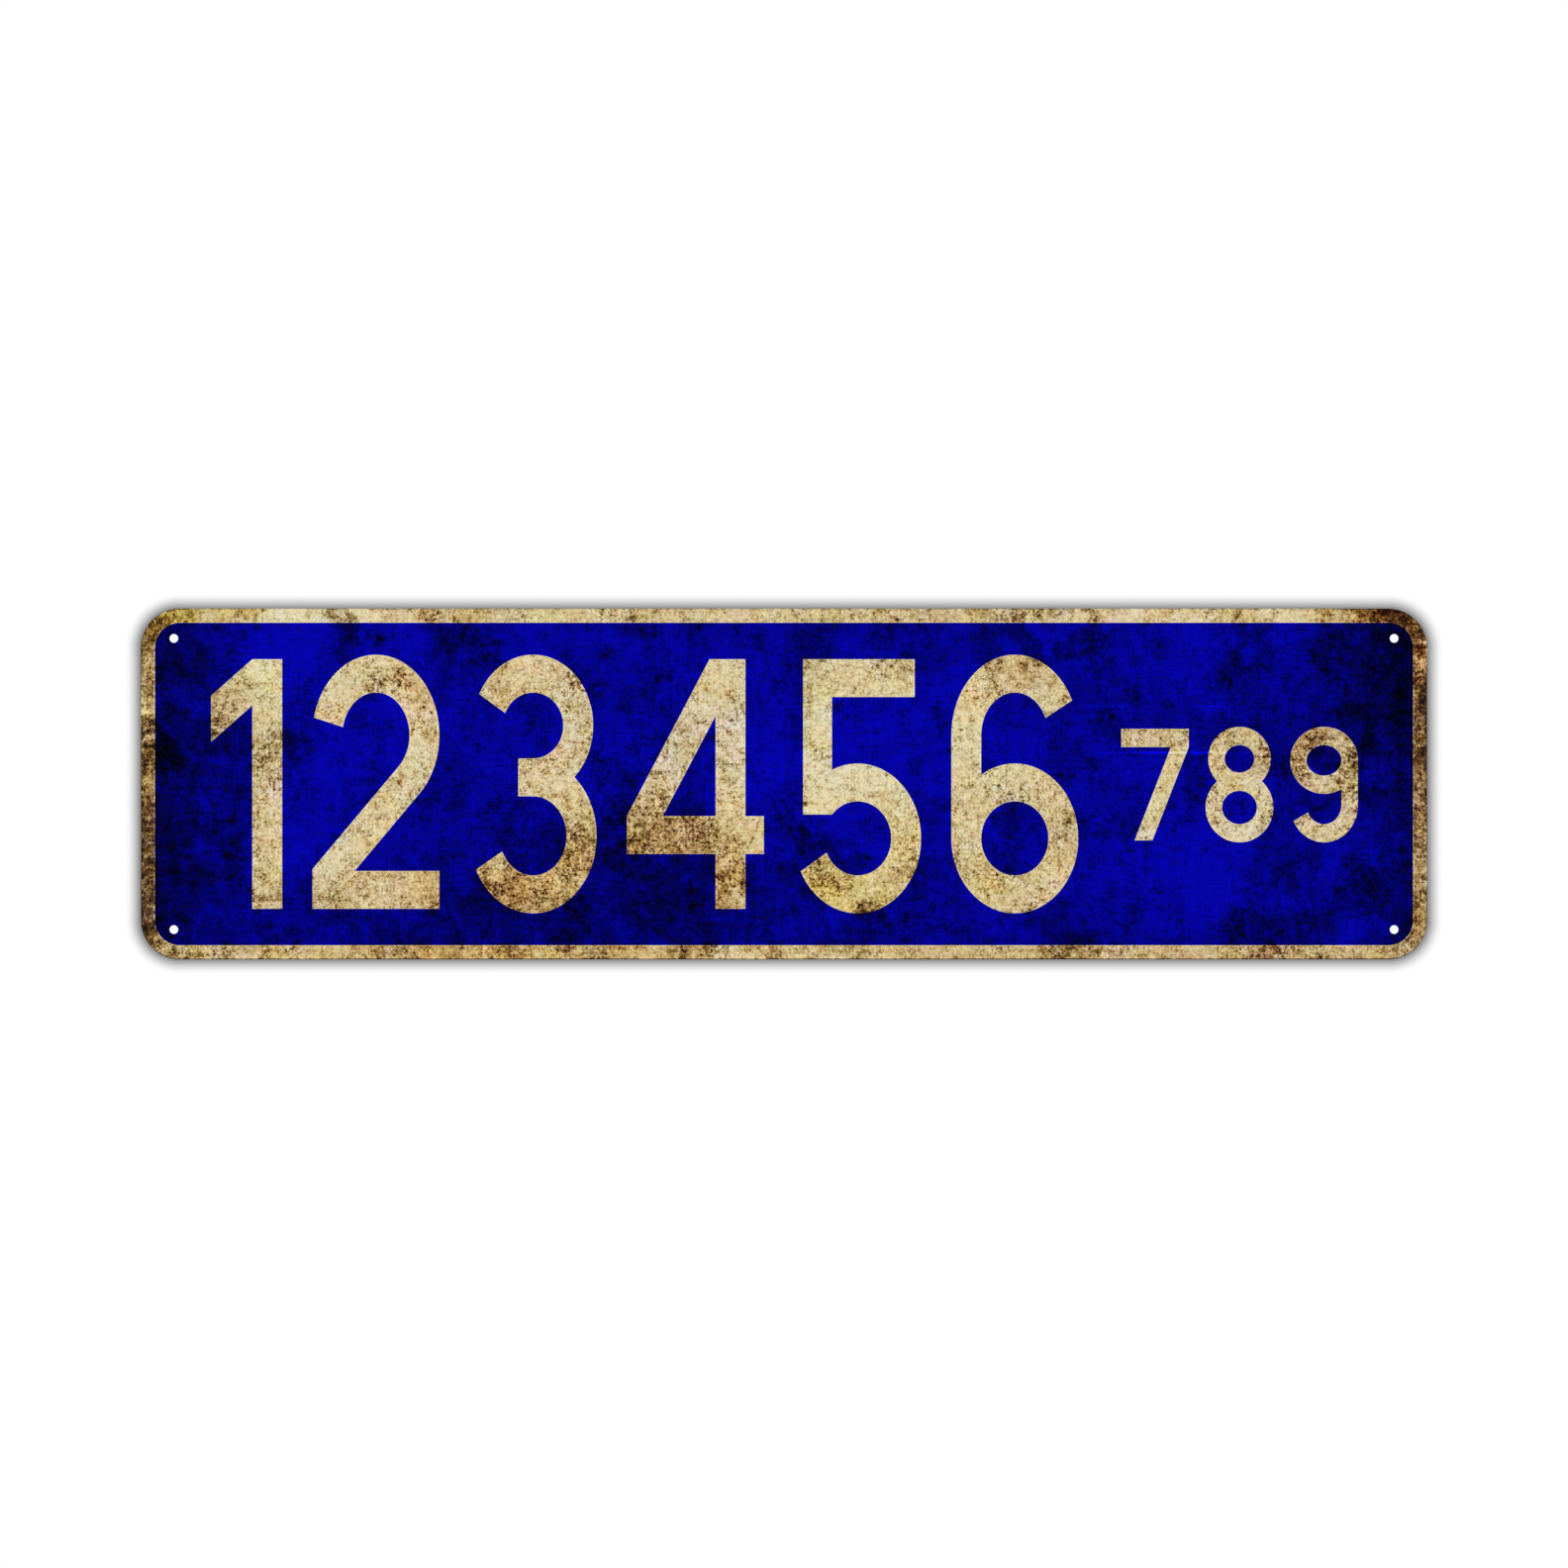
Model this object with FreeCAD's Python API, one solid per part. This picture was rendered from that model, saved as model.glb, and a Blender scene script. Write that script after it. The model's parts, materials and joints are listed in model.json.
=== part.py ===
"""Street name sign: a long, low plate of aluminium sheet, punched out with rounded corners and four holes.

The plate stands upright, as it hangs on a wall. +X is to the right as the sign is read, +Z is up and +Y goes
into the wall, so the printed face looks along -Y. The origin is at the middle of the back face, which is also
the middle of the pattern of the four holes. All sizes are in millimetres.
"""

import FreeCAD, Part
import os

plate_width = 419.1  # along X
plate_height = 114.3  # along Z
plate_thickness = 1.0  # along Y, the gauge of the sheet
corner_radius = 12.7  # of the outline, seen from the front
hole_diameter = 2.8
hole_inset_side = 10.7  # from the plate's left or right edge to a hole's centre
hole_inset_top = 9.7  # from the plate's top or bottom edge to a hole's centre
edge_roll = 0.25  # radius that the punch draws down round the front edges
edge_break = 0.1  # bevel left where the burr is taken off the back edges

front = -plate_thickness  # y of the printed face
back = 0.0  # y of the face that lies on the wall


def make_blank():
    """The sheet cut to the plate's width and height, with its four corners rounded."""
    lowest_corner = FreeCAD.Vector(-plate_width / 2, front, -plate_height / 2)
    sheet = Part.makeBox(plate_width, plate_thickness, plate_height, lowest_corner)
    corner_edges = [edge for edge in sheet.Edges if edge.BoundBox.YLength > plate_thickness / 2]
    return sheet.makeFillet(corner_radius, corner_edges)


def make_punches():
    """One cylinder through each corner of the plate, where a screw goes in."""
    across = plate_width / 2 - hole_inset_side
    up = plate_height / 2 - hole_inset_top
    reach = 3 * plate_thickness  # a punch stands out of both faces by the plate's thickness
    return [
        Part.makeCylinder(
            hole_diameter / 2,
            reach,
            FreeCAD.Vector(x, (front + back - reach) / 2, z),
            FreeCAD.Vector(0, 1, 0),
        )
        for x in (-across, across)
        for z in (-up, up)
    ]


def edges_in_face(plate, y):
    """The edges that lie wholly in the plate's face at this y: its outline and the rims of its holes."""
    near = plate_thickness / 1000
    return [
        edge
        for edge in plate.Edges
        if abs(edge.BoundBox.YMin - y) < near and abs(edge.BoundBox.YMax - y) < near
    ]


def make_sign_plate():
    """The blank with its holes, its front edges drawn down by the punch and its back edges freed of burr."""
    plate = make_blank().cut(make_punches())
    plate = plate.makeFillet(edge_roll, edges_in_face(plate, front))
    return plate.makeChamfer(edge_break, edges_in_face(plate, back))


os.makedirs("parts", exist_ok=True)
sign_plate = make_sign_plate()
sign_plate.exportStep("parts/sign_plate.step")
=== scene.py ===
"""Looks of a street name sign: one flat plate of aluminium sheet, printed on its front and aged all over.

The printed face looks along -Y, +X is to the right as the sign is read and +Z is up. From the back to the
front there are the bare metal, a cream coat that shows as a border all round, a deep blue field, and cream
numerals in two sizes. Grime, stains and rubbed patches run on from one ink to the next, because every finish
reads them from the same place on the sheet. All lengths are in metres, and MM turns millimetres into metres.
"""

import json

import bpy
import numpy as np
from bpy.props import FloatProperty, FloatVectorProperty, PointerProperty, StringProperty
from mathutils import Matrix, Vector
from mathutils.geometry import delaunay_2d_cdt


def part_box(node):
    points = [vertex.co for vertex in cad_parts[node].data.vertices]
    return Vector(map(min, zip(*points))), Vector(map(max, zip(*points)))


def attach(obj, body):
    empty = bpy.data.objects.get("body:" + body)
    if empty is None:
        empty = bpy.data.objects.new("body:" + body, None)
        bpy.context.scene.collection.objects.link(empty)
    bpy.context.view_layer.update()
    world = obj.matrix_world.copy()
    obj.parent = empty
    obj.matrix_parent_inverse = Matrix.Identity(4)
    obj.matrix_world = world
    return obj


bl_info = {
    "name": "Street name sign",
    "version": (1, 0, 0),
    "blender": (4, 5, 0),
    "location": "View3D > Sidebar > Sign",
    "description": "Dresses a street name sign with its print and its wear, and stands it in a plain studio",
    "category": "Object",
}

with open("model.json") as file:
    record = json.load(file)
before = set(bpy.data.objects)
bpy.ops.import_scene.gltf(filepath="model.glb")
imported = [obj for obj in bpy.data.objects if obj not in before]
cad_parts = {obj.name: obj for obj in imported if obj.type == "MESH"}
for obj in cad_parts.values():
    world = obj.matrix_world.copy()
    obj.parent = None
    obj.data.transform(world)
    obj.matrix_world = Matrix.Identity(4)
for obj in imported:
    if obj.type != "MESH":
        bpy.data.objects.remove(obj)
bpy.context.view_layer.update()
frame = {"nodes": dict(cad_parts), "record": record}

MM = 0.001
PLATE = "sign_plate"
BODY = "root"
PLATE_LOW, PLATE_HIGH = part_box(PLATE)
PLATE_WIDTH = PLATE_HIGH.x - PLATE_LOW.x
PLATE_HEIGHT = PLATE_HIGH.z - PLATE_LOW.z
PLATE_FRONT = PLATE_LOW.y
PLATE_BACK = PLATE_HIGH.y
PLATE_THICKNESS = PLATE_BACK - PLATE_FRONT
SCREW_HOLES = next(m["dims"] for m in frame["record"]["mounts"] if m["name"] == "screw_holes")
HOLE_RADIUS = SCREW_HOLES["hole_r_mm"] * MM
HOLE_ACROSS = SCREW_HOLES["spacing_x_mm"] * MM / 2
HOLE_UP = SCREW_HOLES["spacing_y_mm"] * MM / 2

ARC_STEP = 5.0  # degrees between the points of an arc
NEARLY = 1e-7  # points closer than this are one point
WHOLE_HULL, INSIDE_FACES = 0, 1  # which triangles delaunay_2d_cdt gives back

# The noise patterns of the finishes: size of the broadest lumps in millimetres, detail and roughness
NOISES_MM = {
    "sway": (18, 2.0, 0.5),
    "fray": (3.5, 3.0, 0.8),
    "clumps": (6, 4.0, 0.8),
    "lumps": (17, 1.0, 0.8),
    "mottle": (4.5, 2.0, 1.0),
    "blots": (2.4, 1.0, 0.9),
    "grain": (0.75, 1.0, 0.7),
    "threads": (0.9, 2.0, 0.7),
    "crowds": (13, 3.0, 0.8),
    "flecks": (1.1, 1.0, 0.7),
    "hues": (16, 4.4, 0.95),
    "rolling lines": (0.35, 4.0, 0.7),
    "smudges": (30, 5.0, 0.6),
    "floor paint": (200, 3.0, 0.5),
}

# Stains and rubbed patches: centre across and up from the middle of the plate, half width, half height,
# turn in degrees, and strength. A strength under 0 is a patch that has stayed lighter than the rest.
STAINS_MM = {
    "grime down the left end": (-214, -22, 22, 42, 0, 0.8),
    "smudge on the left border": (-209, 11, 7, 5, 0, 1.35),
    "grime in the top left corner": (-203, 48, 16, 12, 0, 0.35),
    "soot across the left end": (-186, 15, 18, 9, -10, 0.28),
    "smear below it": (-186, -5, 12, 6, 15, 0.3),
    "dull patch over the first numeral": (-172, 30, 9, 8, 0, 0.1),
    "drip at the top left": (-144, 50, 6, 8, 0, 0.5),
    "dull patch over the second numeral": (-126, 30, 9, 7, 0, 0.22),
    "drip over the second numeral": (-109, 48, 7, 10, 0, 0.3),
    "damp along the bottom left": (-130, -50, 60, 9, 0, 0.2),
    "damp under the second numeral": (-96, -38, 12, 8, 0, 0.2),
    "grime at the lower middle": (-52, -36, 42, 17, 0, 0.34),
    "dull patch left of the middle": (-25, -3, 9, 12, 0, 0.2),
    "dark foot of the third numeral": (-48, -44, 9, 7, 0, 0.12),
    "brown cloud left of the middle": (-48, -14, 24, 8, 5, 0.52),
    "dark foot left of the middle": (-36, -47, 12, 8, 0, 0.25),
    "brown cloud right of the middle": (6, -30, 8, 8, 0, 0.15),
    "brown spot right of the middle": (8, -15, 7, 6, 0, 0.5),
    "dull patch over the fifth numeral": (46, 20, 9, 9, 0, 0.22),
    "damp right of the middle": (44, -32, 8, 8, 0, 0.2),
    "drip at the bottom middle": (21, -48, 7, 7, 0, 0.32),
    "smudge at the bottom left of the middle": (-89, -55, 7, 6, 0, 0.1),
    "smear at the top right of the middle": (82, 47, 13, 7, 0, 0.42),
    "spot by the sixth numeral": (88, -13, 7, 7, 0, 0.14),
    "spot above the small numerals": (147, 46, 7, 7, 0, 0.42),
    "scribble left of the small numerals": (109, 30, 4, 10, 20, 0.16),
    "soot in the top right corner": (203, 42, 20, 24, 0, 0.9),
    "burn on the top border": (199, 56, 8, 6, 0, 1.0),
    "smudge on the right border": (209, 9, 7, 12, 0, 0.8),
    "smudge low on the right border": (209, -36, 7, 8, 0, 0.35),
    "smear over the small numerals' end": (172, 17, 14, 8, 0, 0.22),
    "soot at the right middle": (184, 6, 18, 10, 0, 0.3),
    "grime down the right end": (214, -12, 16, 42, 0, 0.5),
    "damp at the bottom right": (157, -48, 11, 8, 0, 0.4),
    "damp under the sixth numeral": (91, -52, 10, 9, 0, 0.4),
    "damp in the bottom right corner": (196, -47, 10, 9, 0, 0.3),
    "rubbed patch at the top left": (-163, 44, 8, 10, 0, -0.35),
    "rubbed patch on the left border": (-209, 17, 6, 7, 0, -0.5),
    "rubbed patch by the first numeral": (-136, 14, 26, 10, 0, -0.35),
    "rubbed patch over the second numeral's foot": (-148, -18, 22, 9, 0, -0.15),
    "rubbed patch above the second numeral": (-130, 50, 9, 8, 0, -0.25),
    "rubbed patch above the third numeral": (-77, 45, 10, 8, 0, -0.15),
    "rubbed patch above the fourth numeral": (-17, 45, 15, 8, 0, -0.14),
    "rubbed patch under the fourth numeral": (-10, -22, 7, 8, 0, -0.25),
    "rubbed patch under the fifth numeral": (24, -29, 8, 8, 0, -0.15),
    "rubbed band across the middle": (26, 8, 46, 18, 4, -0.22),
    "rubbed patch by the sixth numeral": (56, 30, 16, 9, 0, -0.12),
    "rubbed patch above the small numerals": (128, 50, 20, 9, 0, -0.2),
    "rubbed patch on the top border": (167, 55, 12, 7, 0, -0.25),
    "rubbed patch under the small numerals": (138, -24, 30, 18, 0, -0.28),
    "rubbed streak at the bottom right": (176, -40, 4, 8, 0, -0.2),
    "soot beside the small numerals": (163, -12, 8, 34, 0, 0.3),
    "grime on the right border": (209, 20, 6, 14, 0, 0.45),
    "first smudge on the top border": (-121, 55, 8, 6, 0, 0.25),
    "second smudge on the top border": (-41, 55, 8, 6, 0, 0.25),
    "third smudge on the top border": (72, 55, 8, 6, 0, 0.22),
    "rubbed length of the top border": (96, 55, 14, 6, 0, -0.22),
    "first rubbed length of the bottom border": (-145, -55, 16, 6, 0, -0.2),
    "second rubbed length of the bottom border": (-80, -55, 12, 6, 0, -0.2),
    "third rubbed length of the bottom border": (-9, -55, 8, 6, 0, -0.25),
    "rubbed patch at the bottom right": (186, -30, 8, 7, 0, -0.18),
    "rubbed patch over the eighth numeral": (145, 30, 8, 8, 0, -0.18),
    "grime in the bottom left corner": (-209, -44, 7, 7, 0, 0.5),
    "rubbed middle of the left border": (-209, 0, 6, 5, 0, -0.4),
    "rubbed foot of the right border": (209, -41, 6, 6, 0, -0.3),
    "rubbed patch over the third numeral": (-77, 32, 9, 8, 0, -0.15),
    "rubbed patch over the fourth numeral": (-42, 32, 8, 8, 0, -0.12),
    "rubbed patch over the fifth numeral": (14, 31, 12, 8, 0, -0.25),
    "rubbed patch across the third numeral": (-62, 1, 24, 7, 0, -0.14),
    "rubbed patch across the fifth numeral": (9, 1, 8, 7, 0, -0.08),
    "rubbed patch beside the sixth numeral": (59, 15, 7, 8, 0, -0.15),
    "rubbed patch above the last numeral": (180, 47, 6, 7, 0, -0.2),
    "rubbed patch over the last numeral": (180, 15, 7, 8, 0, -0.2),
}

# Smaller stains and rubbed patches, in the same form, with less ragged edges
PATCHES_MM = {
    "burn at the end of the top border": (193, 57, 7, 4, 0, 0.75),
    "burn in the top right corner": (207, 49, 4, 4, 0, 0.25),
    "grime in the top left corner": (-203, 51, 8, 6, 0, 0.35),
    "grime in the bottom left corner": (-206, -50, 7, 6, 0, 0.4),
    "damp in the bottom right corner": (197, -46, 7, 6, 0, 0.2),
    "rubbed curve of the top left corner": (-198, 54, 6, 4, 0, -0.15),
    "rubbed curve of the bottom left corner": (-202, -54, 4, 4, 0, -0.3),
    "rubbed curve of the bottom right corner": (200, -54, 5, 4, 0, -0.15),
    "rubbed top of the right border": (210, 41, 4, 7, 0, -1.2),
    "dull length of the right border": (209, 24, 4, 14, 0, 0.15),
    "smudge down the right border": (209, 10, 4, 4, 0, 0.25),
    "rubbed middle of the right border": (209, 1, 4, 6, 0, -0.2),
    "second smudge down the right border": (209, -15, 4, 4, 0, 0.25),
    "rubbed length of the right border": (209, -21, 4, 6, 0, -0.25),
    "rubbed top of the left border": (-209, 37, 4, 3, 0, -0.15),
    "smudge up the left border": (-209, 30, 5, 4, 0, 0.2),
    "rubbed length of the left border": (-209, 20, 4, 6, 0, -0.42),
    "smudge down the left border": (-209, 10, 4, 3, 0, 0.15),
    "rubbed middle of the left border": (-209, 1, 4, 6, 0, -0.2),
    "rubbed top border over the second numeral": (-138, 55, 7, 4, 0, -0.2),
    "rubbed top border after it": (-106, 55, 7, 4, 0, -0.18),
    "dull end of the top border": (174, 57, 6, 4, 0, 0.15),
    "smudge on the bottom border": (-89, -55, 7, 4, 0, 0.25),
    "rubbed bottom border by the middle": (-41, -55, 7, 4, 0, -0.12),
    "dull length of the bottom border": (106, -55, 34, 5, 0, 0.08),
    "rubbed end of the bottom border": (153, -55, 7, 4, 0, -0.15),
    "dull end of the bottom border": (177, -55, 12, 4, 0, 0.1),
    "dull patch at the top left": (-180, 45, 6, 7, 0, 0.15),
    "rubbed top of the first numeral": (-162, 41, 7, 9, 0, -0.32),
    "rubbed foot of the first numeral": (-162, -22, 6, 10, 0, -0.12),
    "dull foot of the second numeral": (-111, -31, 6, 5, 0, 0.13),
    "dull foot of the first numeral's flag": (-162, 15, 7, 7, 0, 0.22),
    "dull patch beside the first numeral": (-180, -15, 7, 7, 0, 0.14),
    "dull middle of the second numeral": (-111, 0, 6, 7, 0, 0.12),
    "dull top of the third numeral": (-94, 45, 6, 6, 0, 0.25),
    "brown foot of the third numeral": (-60, -15, 8, 6, 0, 0.2),
    "dull patch in the third numeral": (-77, 14, 6, 4, 0, 0.08),
    "rubbed foot of the third numeral": (-68, -31, 14, 5, 0, -0.24),
    "rubbed top of the fourth numeral": (-9, 30, 6, 6, 0, -0.12),
    "rubbed stem of the fourth numeral": (-9, 0, 6, 6, 0, -0.12),
    "damp beside the fourth numeral": (-17, -31, 4, 5, 0, 0.2),
    "dull bar of the fourth numeral": (-26, -15, 6, 6, 0, 0.13),
    "dull top of the fifth numeral": (8, 44, 7, 6, 0, 0.26),
    "dull patch on the fifth numeral": (8, 15, 6, 6, 0, 0.12),
    "dull end of the fifth numeral": (42, 38, 7, 9, 0, 0.13),
    "rubbed patch in the fifth numeral": (26, -24, 6, 4, 0, -0.35),
    "rubbed top of the sixth numeral": (76, 44, 6, 4, 0, -0.12),
    "dull hook of the sixth numeral": (93, 30, 5, 6, 0, 0.12),
    "damp between the last large numerals": (43, -30, 8, 7, 0, 0.14),
    "dull patch beside the sixth numeral": (92, -15, 7, 7, 0, 0.12),
    "dull patch over the seventh numeral": (117, 17, 12, 5, 0, 0.13),
    "rubbed patch on the ninth numeral": (180, 14, 6, 6, 0, -0.22),
    "rubbed patch across the ninth numeral": (174, 0, 12, 6, 0, -0.22),
    "damp under the eighth numeral": (162, -30, 7, 7, 0, 0.12),
}

# Where the grime is a redder brown than elsewhere, in the same form. A strength under 0 makes it less red.
BROWN_CLOUDS_MM = {
    "brown over the feet of the third numeral": (-88, -34, 44, 18, 0, 0.7),
    "brown left of the middle": (-26, -30, 22, 20, 0, 0.5),
    "brown right of the middle": (12, -42, 22, 10, 0, 0.2),
    "tan over the second numeral": (-112, 30, 24, 12, 0, 0.3),
    "tan by the sixth numeral": (80, 38, 14, 16, 0, 0.25),
    "tan at the end of the small numerals": (168, 15, 18, 9, 0, 0.4),
    "tan over the first numeral's foot": (-178, -15, 14, 9, 0, 0.2),
    "rust in the top right corner": (200, 53, 16, 12, 0, 2.3),
    "brown down the right end": (206, -5, 16, 48, 0, 0.45),
    "brown down the left end": (-209, -20, 10, 36, 0, 0.2),
    "brown along the bottom left": (-90, -57, 70, 7, 0, 0.5),
    "brown along the bottom right": (130, -57, 70, 7, 0, 0.35),
    "clean ink at the top left": (-165, 40, 26, 20, 0, -0.3),
    "clean ink across the middle": (22, 16, 50, 20, 0, -0.3),
    "clean ink by the second numeral": (-136, -8, 20, 16, 0, -0.2),
    "clean ink over the small numerals": (150, -12, 26, 10, 0, -0.1),
}

# Where the grime is yellower than elsewhere, in the same form
GOLD_CLOUDS_MM = {
    "gold right of the middle": (18, -34, 38, 17, 0, 0.8),
    "gold over the third numeral's foot": (-76, -28, 30, 18, 0, 0.5),
    "gold in the top right corner": (187, 56, 9, 9, 0, 0.7),
    "gold over the second numeral": (-112, 32, 22, 12, 0, 0.1),
    "gold along the bottom left": (-100, -57, 70, 7, 0, 0.6),
    "grey down the left end": (-209, -23, 8, 28, 0, -0.6),
    "gold in the top left corner": (-195, 55, 19, 9, 0, 1.8),
    "grey down the right end": (208, 13, 8, 20, 0, -0.95),
    "gold up the left end": (-209, 19, 7, 6, 0, 0.45),
    "gold along the top left": (-130, 57, 44, 7, 0, 0.15),
    "gold over the fourth numeral's foot": (-16, -32, 9, 9, 0, 0.35),
    "grey over the small numerals": (165, -8, 40, 16, 0, -0.2),
    "grey across the middle": (-20, 12, 70, 14, 0, -0.3),
}

# Scratches, in the same form as the stains
SCRATCHES_MM = {
    "long light scratch": (128, 10.2, 20, 0.35, 0, -0.6),
    "light scratch above it": (108, 25.4, 14, 0.35, 0, -0.25),
    "light scratch by the right end": (140, 25.4, 7, 0.35, 0, -0.35),
    "dark crack in the third numeral": (-67, 13.5, 5, 0.25, -8, 0.4),
    "dark line by the right end": (168, 22, 6, 0.22, 8, 0.3),
    "upright dark line by the right end": (189, 12, 9, 0.3, 83, 0.5),
    "slanted dark line at the top": (148, 55, 4, 0.35, 62, 0.6),
    "dark line by the top left": (-178, 43, 5, 0.3, -30, 0.25),
    "crack in the eighth numeral": (157.5, 8.8, 3.5, 0.3, 0, 0.4),
    "crack below it": (157, 6.5, 3.5, 0.3, 6, 0.6),
    "crack across them": (157.6, 6.5, 4, 0.3, 88, 0.45),
}

# A drop that has dried brown, in the same form
DROPS_MM = {
    "foot of the drop": (-125, 0.6, 1.1, 1.2, 0, 0.5),
    "tail of the drop": (-125, 2.6, 0.5, 1.6, 0, 0.4),
}

# How much of each kind of wear the inks show
CREAM_WEAR = {"Grain": 1.1, "Mottle": 1.45, "Weave": 0.3, "Stains": 1.15, "Clumping": 2.5}
BORDER_WEAR = {"Grain": 0.85, "Mottle": 1.15, "Weave": 0.3, "Stains": 1.1, "Clumping": 2.5}
BLUE_WEAR = {"Grain": 0.2, "Mottle": 2.2, "Weave": 0.42, "Stains": 1.12, "Clumping": 3.0}

# How far noise moves the edges of the marks, by broad waves and by fine fraying
STAIN_SWAY = 45 * MM
STAIN_FRAY = 25 * MM
PATCH_FRAY = 14 * MM
SCRATCH_FRAY = 0.4 * MM

# How the tone of the wear is put together
CLEAN_TONE = 1.12
CEILING_TONE, CEILING_SOFTNESS = 1.38, 0.35  # the tone that rubbed ink nears, and how early it slows down
MOTTLE_SHARE, LUMP_SHARE = 0.62, 0.36
CLEAN_MOTTLE, DIRTY_MOTTLE = 0.8, 0.6  # the mottle's strength on a clean sheet, and what full dirt adds
MOTTLE_CURVE = 0.35
DIRT_DEPTH = 0.1
BLOT_SHARE = 0.8
FLECK_DEPTH = 0.08
LEAST_CLUMP = 0.1
CLEAN_COARSENESS = 1.08  # of specks and hues, to which full dirt adds 1

# A place is dirty where a noise plus this share of the stains comes up, and a fleck lies where a finer noise
# does: from the first of two values on, and in full at the second
STAINS_IN_CROWD = 0.4
CROWD_RANGE = (0.42, 0.72)
FLECK_RANGE = (0.55, 0.75)

# How the hue of the grime wanders, and how much browner a dried drop is
HUE_SPREAD, HUE_BASE = 2.2, 0.12
DROP_BROWN = 3.0

# How much patterns are squeezed: lumps across and up, and lines along their length, which a small number
# stretches
LUMP_SQUEEZE = (1.1, 0.8)
THREAD_SQUEEZE = 0.1
ROLLING_SQUEEZE = 0.01

# The satin of the inks and of the bare sheet: specular level, roughness from smooth to gritty, and bump
INK_SPECULAR = 0.015
INK_ROUGHNESS = (0.38, 0.6)
METAL_ROUGHNESS = (0.3, 0.5)
GRIT_RANGE = (0.2, 0.8)
BUMP_STRENGTH, BUMP_HEIGHT = 0.15, 0.03 * MM

# The cream ink: the tone at which it is rubbed nearly white, and how much lighter its rim is
BLEACHED_TONE = 1.55
RIM_GAIN = 0.22

# What share of red, green and blue one step of browning or gilding leaves
BROWN_CAST = (1.05, 0.86, 0.8)
GOLD_CAST = (1.02, 1.0, 0.66)

# The blue ink: the darkest that its tone gets, and the power that turns a tone into linear light
DARKEST_TONE = 0.05
DISPLAY_POWER = 2.2

# The coat's dark hairline along the plate's outline, painted shade of the rolled edge with some grime there,
# which is darker along the lower edge as painted shade of light from above, and the pale line along the
# inner edge of the border
HAIRLINE = 0.5 * MM
EDGE_SHADE_AND_GRIME_DEPTH, BOTTOM_EDGE_SHADE_DEPTH = 0.3, 0.5
BOTTOM_EDGE_SHADE_SPAN = (-0.45 * PLATE_HEIGHT, -0.5 * PLATE_HEIGHT)
PALE_LINE = (0.45 * MM, 0.1 * MM)
UNDER_FIELD = 1.0 * MM  # how far inside the field's edge the coat turns blue
COAT_END = PLATE_FRONT + 0.2 * PLATE_THICKNESS  # where the coat ends on the rolled edge
COAT_FADE = 0.05 * PLATE_THICKNESS  # half the width of the zone in which it ends

# The sheet's own shade: how much its rolling lines and its smudges show
LINE_SHARE, SMUDGE_SHARE = 0.35, 0.5

# The soft lamps: place and size in metres, and power in watts
LAMPS = {
    "key lamp": {"place": (-1.2, -1.9, 1.3), "size": 1.2, "power": 12.0},
    "fill lamp": {"place": (1.6, -1.7, 0.5), "size": 1.2, "power": 5.0},
}

# The shadow round the sign: a grey on a display, from 0 to 255, at each share of the shadow's width
SHADOW_GREYS = {0.0: 132, 0.2: 172, 0.45: 212, 0.75: 244}
SHADOW_SIDES = 0.4 * MM  # how much further out the shadow lies at the left and the right
SHADOW_END = 2.0 * MM  # how far inside the outline the wall is white again, which the holes show

# The floor's paint, and how far from the sign's middle, in metres, it starts and ends to fade into white
FLOOR_GREYS = (0.82, 0.86)
FLOOR_ROUGHNESS = 0.8
FLOOR_FADE = (0.3, 2.0)
WHITE = (1.0, 1.0, 1.0)


def linear(red, green, blue, most=255.0):
    """A display colour, each part from 0 to most, as the linear colour that a shader takes."""
    part = np.array([red, green, blue]) / most
    bent = np.where(part <= 0.04045, part / 12.92, ((part + 0.055) / 1.055) ** 2.4)
    return tuple(float(v) for v in bent)


def length(name, description, millimetres):
    """A length that a user may change, given in millimetres."""
    return FloatProperty(
        name=name, description=description, default=millimetres * MM, min=0.0, unit="LENGTH", precision=5
    )


def colour(name, description, red, green, blue):
    """A colour that a user may change, given as it looks on a display, each part from 0 to 255."""
    return FloatVectorProperty(
        name=name,
        description=description,
        subtype="COLOR",
        default=linear(red, green, blue),
        min=0.0,
        max=1.0,
    )


def share(name, description, default, most=1.0):
    """An amount without a unit, from 0 to most."""
    return FloatProperty(
        name=name, description=description, default=default, min=0.0, max=most, subtype="FACTOR"
    )


def optics(name, description, millimetres):
    """A measure of the camera, in millimetres as cameras are sold."""
    return FloatProperty(name=name, description=description, default=millimetres, min=1.0, unit="CAMERA")


class SIGN_PG_print(bpy.types.PropertyGroup):
    """The layers of ink: where they end and how thick they lie."""

    plate_corner: length("Plate corner", "Radius of the plate's own corners", 12.7)
    border: length("Border", "Width of the cream border round the blue field", 4.6)
    film: length("Ink thickness", "How far one layer of ink stands above the one below it", 0.05)
    shoulder: length("Ink shoulder", "Width of the slope at the edge of a layer of ink", 0.3)
    sunk: length("Ink overlap", "How deep a layer of ink reaches into the one below it", 0.01)
    hole_margin: length("Hole margin", "From the edge of a screw hole to the blue ink round it", 0.25)


class SIGN_PG_large(bpy.types.PropertyGroup):
    """The row of large numerals."""

    digits: StringProperty(name="Large numerals", description="What the large row reads", default="123456")
    left: length("Left margin", "From the plate's left edge to the first numeral", 22.9)
    width: length("Row width", "From the first numeral's left side to the last one's right side", 282.5)
    foot: length("Foot", "From the plate's bottom edge to the feet of the numerals", 16.5)
    height: length("Height", "Height of the numerals", 81.3)
    digit: length("Numeral width", "Width of one numeral", 41.3)
    stem: length("Stem", "Width of an upright stroke", 9.7)
    bar: length("Bar", "Height of a level stroke", 12.3)


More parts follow.
